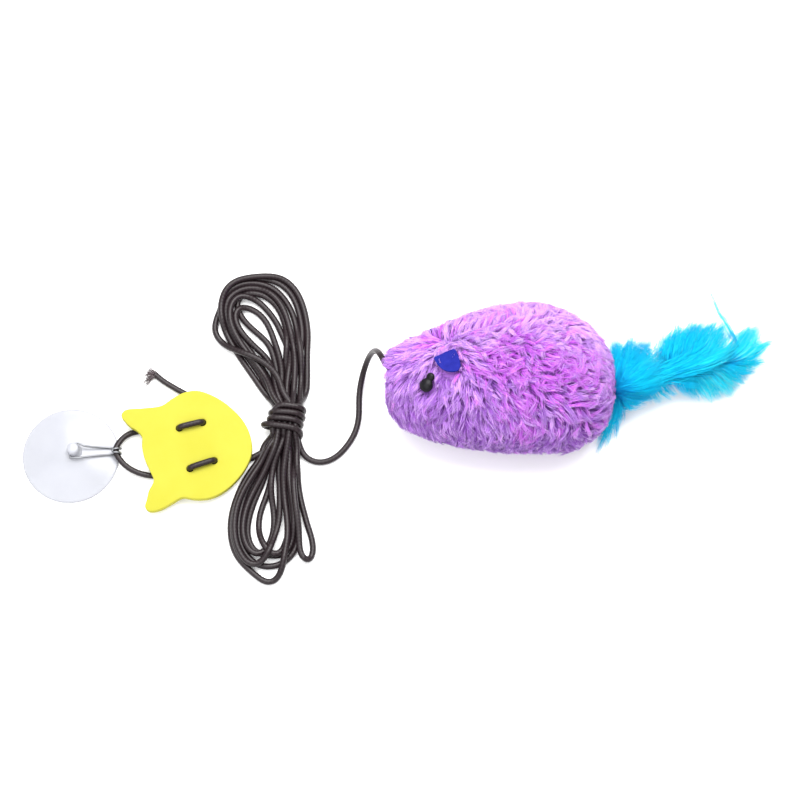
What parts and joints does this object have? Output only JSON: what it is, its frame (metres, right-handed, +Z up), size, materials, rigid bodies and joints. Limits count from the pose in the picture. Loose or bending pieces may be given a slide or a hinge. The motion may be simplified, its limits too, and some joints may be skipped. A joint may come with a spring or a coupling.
{
  "type": "cat toy",
  "caption": "Long-pile plush mouse with felt ears, a feather tail and a shake-to-chirp module inside, on an elastic cord with a foam slider, wire hook and suction cup.",
  "frame": {"origin": "on the table, under the middle of the plush body and its tail", "axes": "+X from the nose to the tail, +Y to the side away from the front, +Z up; the body lies rolled on its side with its back seam leaning towards +Y"},
  "size_m": [0.3066, 0.134, 0.0501],
  "materials": {
    "plush": "long curly pile, purple",
    "felt": "blue felt",
    "eye": "glossy black",
    "stuffing": "white polyester fibre",
    "feather": "dyed marabou feather, turquoise",
    "thread": "blue sewing thread over the quills",
    "cord": "dark brown braided sleeve over elastic",
    "foam": "yellow EVA foam, die cut",
    "pvc": "clear soft PVC",
    "wire": "bright spring wire",
    "abs": "moulded ABS",
    "pcb": "green glass-fibre board",
    "epoxy": "black epoxy",
    "cell": "bright nickel plate",
    "brass": "bright sheet brass",
    "wire_red": "red insulation",
    "wire_black": "black insulation",
    "switch_plastic": "black moulded base"
  },
  "bodies": {
    "root": {"left_side_panel": "plush", "right_side_panel": "plush", "belly_panel": "plush", "stuffing_upper": "stuffing", "stuffing_lower": "stuffing", "ear_left": "felt", "ear_right": "felt", "eye_left": "eye", "eye_right": "eye", "tail_root_stub": "thread", "tail_fluff_low": "feather", "module_case_base": "abs", "module_case_lid": "abs", "button_cell_1": "cell", "button_cell_2": "cell", "button_cell_3": "cell", "cell_contact_lower": "brass", "cell_contact_upper": "brass", "circuit_board": "pcb", "chip_blob": "epoxy", "piezo_disc": "brass", "switch_can": "cell", "switch_plug": "switch_plastic", "piezo_wire_red": "wire_red", "piezo_wire_black": "wire_black", "cord_knot": "cord", "cord_lead": "cord", "cord_hank": "cord", "cord_waist_wrap": "cord", "cord_slider_run": "cord"},
    "hook": {"wire_hook": "wire"},
    "cup": {"suction_cup": "pvc"},
    "slider": {"cord_slider": "foam", "cord_frayed_tip": "cord"},
    "tail": {"tail_binding": "thread", "tail_plume_front": "feather", "tail_plume_long": "feather"},
    "shake_ball": {"switch_ball": "cell"}
  },
  "joints": [
    {"name": "hook_swing", "type": "hinge", "parent": "root", "child": "hook", "pos_m": [-0.1908, -0.0254, 0.00375], "axis": [0, 1, 0], "range_deg": [0, 110]},
    {"name": "cup_pivot", "type": "hinge", "parent": "hook", "child": "cup", "pos_m": [-0.2079, -0.0259, 0.0069], "axis": [-0.4226, -0.9063, 0], "range_deg": [-180, 0]},
    {"name": "slider_slide", "type": "slide", "parent": "root", "child": "slider", "axis": [-1, 0, 0], "range_m": [-0.001, 0.0065], "deforming": ["cord_slider_run"]},
    {"name": "tail_sway", "type": "hinge", "parent": "root", "child": "tail", "pos_m": [0.0154, -0.0022, 0.0196], "axis": [0, 0, 1], "range_deg": [-30, 30], "stiffness_Nm_per_rad": 0.005},
    {"name": "ball_roll", "type": "slide", "parent": "root", "child": "shake_ball", "axis": [1, 0, 0], "range_m": [0, 0.0031]}
  ]
}
